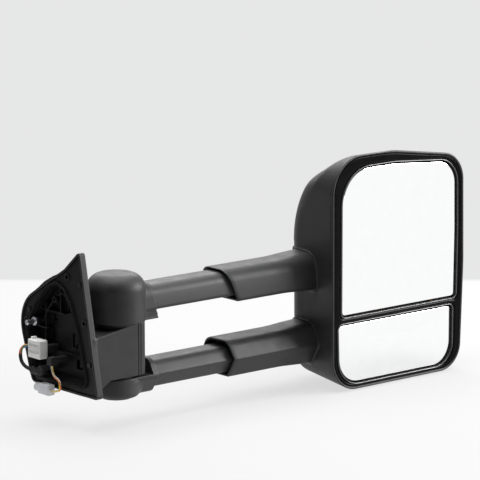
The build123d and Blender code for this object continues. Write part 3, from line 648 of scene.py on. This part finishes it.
def base_cover(p):
    """Sail-shaped cover with a bulge over the pocket, the pedestal and a dust lip."""
    x, y, z = p[:, 0], p[:, 1], p[:, 2]
    sail, pocket = SAIL_O.sd(y, z), POCKET_O.sd(y, z)
    flange = round_max(sail, x - 10, 2.0)
    slope = math.tan(math.radians(16))
    bulge = round_max((pocket - 6 + (x - 7) * slope) * 0.96, x - 21.8, 5)
    d = smin(flange, bulge, 6.0)
    d = smin(d, np.maximum(pedestal(p, 0), 7 - x), 2.5)
    dust_lip = np.maximum(disc_z(p, PIVOT_X, 0, 25.4, -8, 6.2), 22.6 - np.hypot(x - PIVOT_X, y))
    inner = np.maximum(sail + 2.5, x - 7.5)
    inner = np.minimum(inner, np.maximum(pocket - 3.3 + (x - 4) * 0.14, x - 20))
    inner = np.minimum(inner, np.maximum(pedestal(p, 2.5), 7 - x))
    d = np.minimum(np.maximum(d, -inner), dust_lip)
    d = np.maximum(d, -disc_z(p, PIVOT_X, 0, 22.3, -80, 10, 0.2))
    return smax(d, 1.0 - x, 0.8)


def base_bracket(p):
    """Bracket in the cover: plate, pocket, gasket groove, ribs and screw holes."""
    x, y, z = p[:, 0], p[:, 1], p[:, 2]
    sail, pocket = SAIL_O.sd(y, z), POCKET_O.sd(y, z)
    d = round_max(sail + 2.8, np.abs(x - 5.25) - 2.25, 0.6)
    d = np.minimum(d, np.maximum(pocket - 3 + (x - 4) * 0.14, np.maximum(4 - x, x - 19.7)))
    d = smax(d, -np.maximum(pocket + (x - 2) * 0.14, x - 17.2), 1.2)
    d = np.maximum(d, -np.maximum(np.abs(pocket - 1.8) - 1.3, x - 5))
    d = smin(d, pocket_ribs(p, pocket), 1.0)
    d = smin(d, disc_x(p, *STUD, 5.2, 3, 18.2), 1.0)
    for y0, z0 in INSERTS:
        d = np.maximum(d, -disc_x(p, y0, z0, 4.5, -5, 30))
    for y0, z0 in COVER_SCREWS:
        d = np.maximum(d, -disc_x(p, y0, z0, 1.7, -5, 30, 0.1))
    for y0, z0, w, t in ((30, 22, 4, 7), (58, 8, 3, 6), (22, -16, 5, 8), (14, -42, 6, 5)):
        d = np.maximum(d, -sd_box(p, 12, 40, y0 - w, y0 + w, z0 - t, z0 + t, 1.5))
    return d


def pocket_ribs(p, pocket):
    """Stiffening webs on the pocket floor: a curved inner wall and cross webs."""
    x, y, z = p[:, 0], p[:, 1], p[:, 2]
    webs = round_max(np.abs(pocket + 11) - 0.9, 9.5 - x, 0.6)
    webs = np.maximum(webs, 20 - z - 0.35 * y)
    runs = (((66, 22), (66, -58), 9), ((40, 47), (40, 14), 10), ((34, 14), (84, 14), 10),
            ((62, -6), (88, -6), 7), ((0, -32), (60, -32), 12.5))
    for (ya, za), (yb, zb), top in runs:
        d = np.array((yb - ya, zb - za), float)
        t = np.clip(((y - ya) * d[0] + (z - za) * d[1]) / (d @ d), 0, 1)
        far = np.hypot(y - ya - t * d[0], z - za - t * d[1]) - 0.9
        webs = np.minimum(webs, round_max(far, top - x, 0.6))
    boss = np.minimum(disc_x(p, 48, 29, 4.0, 8, 18), disc_x(p, 8, -12, 3.6, 10, 18))
    holes = np.minimum(disc_x(p, 48, 29, 1.7, 0, 16), disc_x(p, 8, -12, 1.5, 0, 16))
    webs = np.minimum(webs, np.maximum(boss, -holes))
    return np.maximum(webs, np.maximum(x - 18, pocket - 1))


def barrel(p):
    """Hollow pivot barrel and the block that ties it to the door side."""
    d = disc_z(p, PIVOT_X, 0, 22, -55, -3, 0.6)
    d = np.minimum(d, sd_box(p, 18, PIVOT_X, -16, 16, -46, -14, 0.8))
    return np.maximum(d, -disc_z(p, PIVOT_X, 0, 13, -70, 20, 0.1))


def build_base():
    solid("base_cover_skin", base_cover, (-1, -42, -74), (89, 106, 95), 0.85, "base",
          M["grained_plastic"], node=["base_cover"])
    solid("base_bracket_skin", base_bracket, (1, -41, -74), (22, 105, 95), 0.7,
          "base", M["inner_plastic"], node=["base_bracket"])
    solid("pivot_barrel", barrel, (16, -24, -57), (82, 24, -1), 1.0,
          "base", M["inner_plastic"])
    profile = [(0.7, 5.0), (0.7, 0.6), (1.1, 0.1), (1.8, 0.0), (2.5, 0.1), (2.9, 0.6), (2.9, 5.0)]
    verts, faces = rings_mesh(rings_x(POCKET_O, profile), closed=True)
    piece("gasket_strip", verts, [f[::-1] for f in faces], "base", M["foam"], sharp=60,
          node=["base_gasket"])


# ---------------------------------------------------------------- wiring
WIRE_SIDES, TAPE_SIDES = 8, 14


def route(name, points):
    """Smooth route in metres: one open NURBS spline through the cord's control points."""
    curve = bpy.data.curves.new(name, "CURVE")
    curve.dimensions = "3D"
    spline = curve.splines.new("NURBS")
    spline.points.add(len(points) - 1)
    for q, c in zip(spline.points, points):
        q.co = (*c, 1.0)
    spline.order_u = 3
    spline.use_endpoint_u = True
    spline.resolution_u = 16
    obj = bpy.data.objects.new(name, curve)
    bpy.context.collection.objects.link(obj)
    mesh = bpy.data.meshes.new_from_object(obj)
    line = [Vector(v.co) for v in mesh.vertices]
    bpy.data.objects.remove(obj)
    return line


def strands(name, line, colours, offset, r, turns, tape=None):
    """Wires twisted round a route, with a band of tape over part of them."""
    pts = np.array(line)
    tangent = np.gradient(pts, axis=0)
    tangent /= np.linalg.norm(tangent, axis=1, keepdims=True)
    side = np.cross(tangent, (1.0, 0.0, 0.0))
    side /= np.linalg.norm(side, axis=1, keepdims=True)
    up = np.cross(side, tangent)
    along = np.linspace(0, 1, len(pts))
    verts, faces, mats = [], [], []

    def tube(rows, centre, radius, index, sides):
        base = len(verts)
        for i in rows:
            for k in range(sides):
                a = 2 * math.pi * k / sides
                verts.append(centre[i] + radius[i] * (math.cos(a) * side[i] + math.sin(a) * up[i]))
        for i in range(len(rows) - 1):
            low, high = base + i * sides, base + (i + 1) * sides
            for k in range(sides):
                j = (k + 1) % sides
                faces.append((low + k, low + j, high + j, high + k))
                mats.append(index)
        return base

    every = range(len(pts))
    thickness = np.full(len(pts), r)
    for s in range(len(colours)):
        angle = 2 * math.pi * (s / len(colours) + turns * along)
        centre = pts + offset * (np.cos(angle)[:, None] * side + np.sin(angle)[:, None] * up)
        base = tube(every, centre, thickness, s, WIRE_SIDES)
        for end in (0, len(pts) - 1):
            faces.append(tuple(base + end * WIRE_SIDES + k for k in range(WIRE_SIDES)))
            mats.append(s)
    if tape:
        rows = np.nonzero((along >= tape[0]) & (along <= tape[1]))[0]
        wave = (offset + r + 0.0001) * (1 + 0.03 * np.sin(along * 60))
        tube(rows, pts, wave, len(colours), TAPE_SIDES)
    mesh = bpy.data.meshes.new(name)
    mesh.from_pydata([tuple(v) for v in verts], [], faces)
    for c in colours:
        mesh.materials.append(WIRE[c])
    mesh.materials.append(TAPE)
    mesh.polygons.foreach_set("material_index", mats)
    mesh.shade_smooth()
    obj = bpy.data.objects.new(name, mesh)
    bpy.context.collection.objects.link(obj)
    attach(obj, "base")
    return obj


def build_connector():
    """White multi-way connector on its black clip."""
    solid("main_connector", connector_body, (-15, 47, -40), (1, 73, -13), 0.4,
          "base", M["white_nylon"], node=["connector_white"])
    solid("connector_clip", connector_clip, (-3, 49, -35), (19, 62, -22), 0.6,
          "base", M["rubber_black"])
    solid("taped_loom", taped_loom, (-14, 46, -62), (19, 75, -43), 0.6,
          "base", M["rubber_black"], node=["harness_boot_a"])


def connector_body(p):
    d = sd_box(p, -13, -1, 49, 71, -38, -17, 1.2)
    ribs = sd_box(p, -10, -4, 65, 69, -20, -14.5, 0.5)
    ribs = np.minimum(ribs, sd_box(p, -12.6, -1.4, 52, 53.4, -38.0, -16.4, 0.4))
    d = np.minimum(d, ribs)
    for row in range(2):
        for col in range(6):
            y0, z0 = 50.6 + 3.2 * col, -32.6 + 7.2 * row
            d = smax(d, -sd_box(p, -15, -9, y0, y0 + 2.0, z0, z0 + 4.0, 0.3), 0.3)
    return np.maximum(d, -sd_box(p, -15, -12.2, 49.8, 70.2, -26.9, -26.1, 0.1))


def connector_clip(p):
    return sd_box(p, -1.4, 17.2, 51, 60, -33, -24, 1.0)


def taped_loom(p):
    """Cloth tape wound in overlapping turns, on its moulded neck."""
    x, y, z = p[:, 0], p[:, 1], p[:, 2]
    around = np.arctan2(z + 54, x + 7)
    turns = 0.35 * np.abs(np.sin(y * 0.9 + around * 0.5)) + 0.25 * np.sin(y * 0.5 + 3 * around)
    wrap = round_max(np.hypot(x + 7, z + 54) - 4.0 - turns, np.abs(y - 62) - 9, 0.8)
    neck = np.minimum(sd_box(p, -10, 17.2, 49, 57, -52, -46, 1.2), sd_box(p, -10, -4, 49, 57, -56, -50, 1.2))
    return smin(wrap, neck, 1.5)


def build_wires():
    build_connector()
    route_a = [(-0.0025, -0.006, -0.027), (-0.0025, 0.016, -0.027),
               (-0.0025, 0.016, -0.054), (-0.0025, -0.006, -0.054)]
    line = route("route_a", route_a)
    colours = ["pink", "orange", "green", "violet"]
    loom = strands("wires_a_loom", line, colours, 0.00115, 0.00080, 1.5, tape=(0.45, 1.0))
    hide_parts("wires_a")
    route_b = [(-0.0025, -0.043, -0.042), (-0.0025, -0.043, -0.053), (-0.0025, -0.058, -0.058),
               (-0.0025, -0.058, -0.0715), (-0.0025, -0.041, -0.0715)]
    line = route("route_b", route_b)
    colours = ["yellow", "orange", "white"]
    tail = strands("wires_b_tail", line, colours, 0.00078, 0.00070, 1.0)
    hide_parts("wires_b")
    plug = refined("connector_silver", "small_connector", "base", M["grey_nylon"], bevel=0.35)


# ---------------------------------------------------------------- stage
EYE = np.array((-2.04392, -2.67551, 0.75844)) + ORIGIN * 0.001
AIM = np.array((0.16898, -0.08453, 0.09612)) + ORIGIN * 0.001
AWAY = np.array((0.649, 0.760, 0.0))
ACROSS = np.array((0.760, -0.649, 0.0))
FLOOR_Z, FLOOR_HALF = -0.1132, 30.0
FLOOR_END = 0.786
DIM = 0.12


def project(tree, vector, direction):
    node = tree.nodes.new("ShaderNodeVectorMath")
    node.operation = "DOT_PRODUCT"
    node.inputs[1].default_value = tuple(direction)
    tree.links.new(vector, node.inputs[0])
    return node.outputs["Value"]


def rise(tree, value, low, high, start=0.0):
    """Goes from start to 1 while value goes from low to high."""
    node = tree.nodes.new("ShaderNodeMapRange")
    node.inputs["From Min"].default_value = low
    node.inputs["From Max"].default_value = high
    node.inputs["To Min"].default_value = start
    tree.links.new(value, node.inputs["Value"])
    return node.outputs["Result"]


def maths(tree, operation, a, b, clamp=False):
    node = tree.nodes.new("ShaderNodeMath")
    node.operation = operation
    node.use_clamp = clamp
    tree.links.new(a, node.inputs[0])
    tree.links.new(b, node.inputs[1])
    return node.outputs["Value"]


def two_tone(tree, value, first, second, full=1.0):
    """Colour that blends from first at 0 to second where value reaches full."""
    node = tree.nodes.new("ShaderNodeValToRGB")
    node.color_ramp.elements[1].position = full
    node.color_ramp.elements[0].color = first
    node.color_ramp.elements[1].color = second
    tree.links.new(value, node.inputs["Fac"])
    return node.outputs["Color"]


def cover_with(tree, factor, under, over):
    node = tree.nodes.new("ShaderNodeMix")
    node.data_type = "RGBA"
    node.inputs["B"].default_value = over
    tree.links.new(factor, node.inputs["Factor"])
    tree.links.new(under, node.inputs["A"])
    return node.outputs["Result"]


def build_stage():
    """Floor that turns into the backdrop at FLOOR_END past the aim, and dims to the left and near."""
    mesh = bpy.data.meshes.new("floor")
    h, z = FLOOR_HALF, FLOOR_Z
    mesh.from_pydata([(-h, -h, z), (h, -h, z), (h, h, z), (-h, h, z)], [], [(0, 1, 2, 3)])
    floor = bpy.data.objects.new("floor", mesh)
    bpy.context.collection.objects.link(floor)
    mat = bpy.data.materials.new("studio_floor")
    mat.use_nodes = True
    tree = mat.node_tree
    shader = tree.nodes["Principled BSDF"]
    place = tree.nodes.new("ShaderNodeNewGeometry").outputs["Position"]
    away, across = project(tree, place, AWAY), project(tree, place, ACROSS)
    depth, middle = AWAY @ AIM, ACROSS @ AIM
    backdrop = rise(tree, away, depth + FLOOR_END - 0.01, depth + FLOOR_END + 0.01)
    left = rise(tree, across, middle - 0.62, middle - 0.40, DIM)
    right = rise(tree, across, middle + 0.40, middle + 0.60)
    near = rise(tree, away, depth - 0.75, depth - 0.40, DIM)
    shade = two_tone(tree, backdrop, (0.66, 0.66, 0.66, 1), (0.795, 0.797, 0.80, 1))
    white_part = maths(tree, "SUBTRACT", right, backdrop, clamp=True)
    glow = cover_with(tree, white_part, shade, (1.0, 1.0, 1.0, 1))
    lit = maths(tree, "MINIMUM", maths(tree, "MAXIMUM", right, near), left)
    strength = maths(tree, "MAXIMUM", lit, backdrop)
    unpainted = maths(tree, "MAXIMUM", backdrop, right)
    paint = two_tone(tree, unpainted, (0.13, 0.13, 0.13, 1), (0.0, 0.0, 0.0, 1))
    tree.links.new(glow, shader.inputs["Emission Color"])
    tree.links.new(strength, shader.inputs["Emission Strength"])
    tree.links.new(paint, shader.inputs["Base Color"])
    shader.inputs["Roughness"].default_value = 0.9
    shader.inputs["Specular IOR Level"].default_value = 0.0
    mesh.materials.append(mat)


def area_light(name, place, target, size, power, colour=(1, 1, 1)):
    lamp = bpy.data.lights.new(name, "AREA")
    lamp.shape = "RECTANGLE"
    lamp.size, lamp.size_y = size
    lamp.energy = power
    lamp.color = colour
    obj = bpy.data.objects.new(name, lamp)
    obj.location = place
    obj.rotation_euler = (Vector(target) - Vector(place)).to_track_quat("-Z", "Y").to_euler()
    bpy.context.collection.objects.link(obj)


def build_lights():
    """Sky that is bright to the upper right, a bright card in front, and three area lights."""
    world = bpy.data.worlds.new("studio")
    bpy.context.scene.world = world
    world.use_nodes = True
    tree = world.node_tree
    back = tree.nodes["Background"]
    view = tree.nodes.new("ShaderNodeTexCoord").outputs["Generated"]
    bright_side = project(tree, view, Vector((0.62, 0.25, 0.75)).normalized())
    sky = two_tone(tree, bright_side, (0.05, 0.05, 0.05, 1), (1.0, 1.0, 1.0, 1), full=0.9)
    card = rise(tree, project(tree, view, (0.64, -0.768, 0.0)), 0.86, 0.95)
    tree.links.new(cover_with(tree, card, sky, (1.25, 1.25, 1.25, 1)), back.inputs["Color"])
    back.inputs["Strength"].default_value = 0.8
    middle = (0.27, -0.1, 0.0)
    area_light("top", (0.25, 0.1, 1.6), middle, (1.8, 1.4), 46)
    area_light("behind", (1.2, 1.5, 1.2), middle, (2.0, 1.0), 24)
    area_light("right", (1.7, -1.1, 0.6), middle, (1.0, 0.8), 50)
    bpy.context.scene.view_settings.view_transform = "Standard"
    bpy.context.scene.view_settings.look = "None"


def build_camera():
    cam = bpy.data.cameras.new("camera")
    cam.lens = 232.5
    cam.sensor_width = 36
    obj = bpy.data.objects.new("camera", cam)
    place, target = Vector(EYE), Vector(AIM)
    obj.location = place
    obj.rotation_euler = (target - place).to_track_quat("-Z", "Y").to_euler()
    bpy.context.collection.objects.link(obj)
    bpy.context.scene.camera = obj


def dress_nodes():
    """Every CAD node that stays gets its slot's procedural material."""
    for entry in frame["record"]["subparts"]:
        node = NODES[entry["node"]]
        node.data.materials.clear()
        node.data.materials.append(M[entry["material_slot"]])
    NODES["arm_casting_upper"].data.materials[0] = M["cast_black"]


dress_nodes()
build_head()
build_lips()
build_glass()
build_arms()
build_knuckle()
build_base()
build_wires()
build_stage()
build_lights()
build_camera()
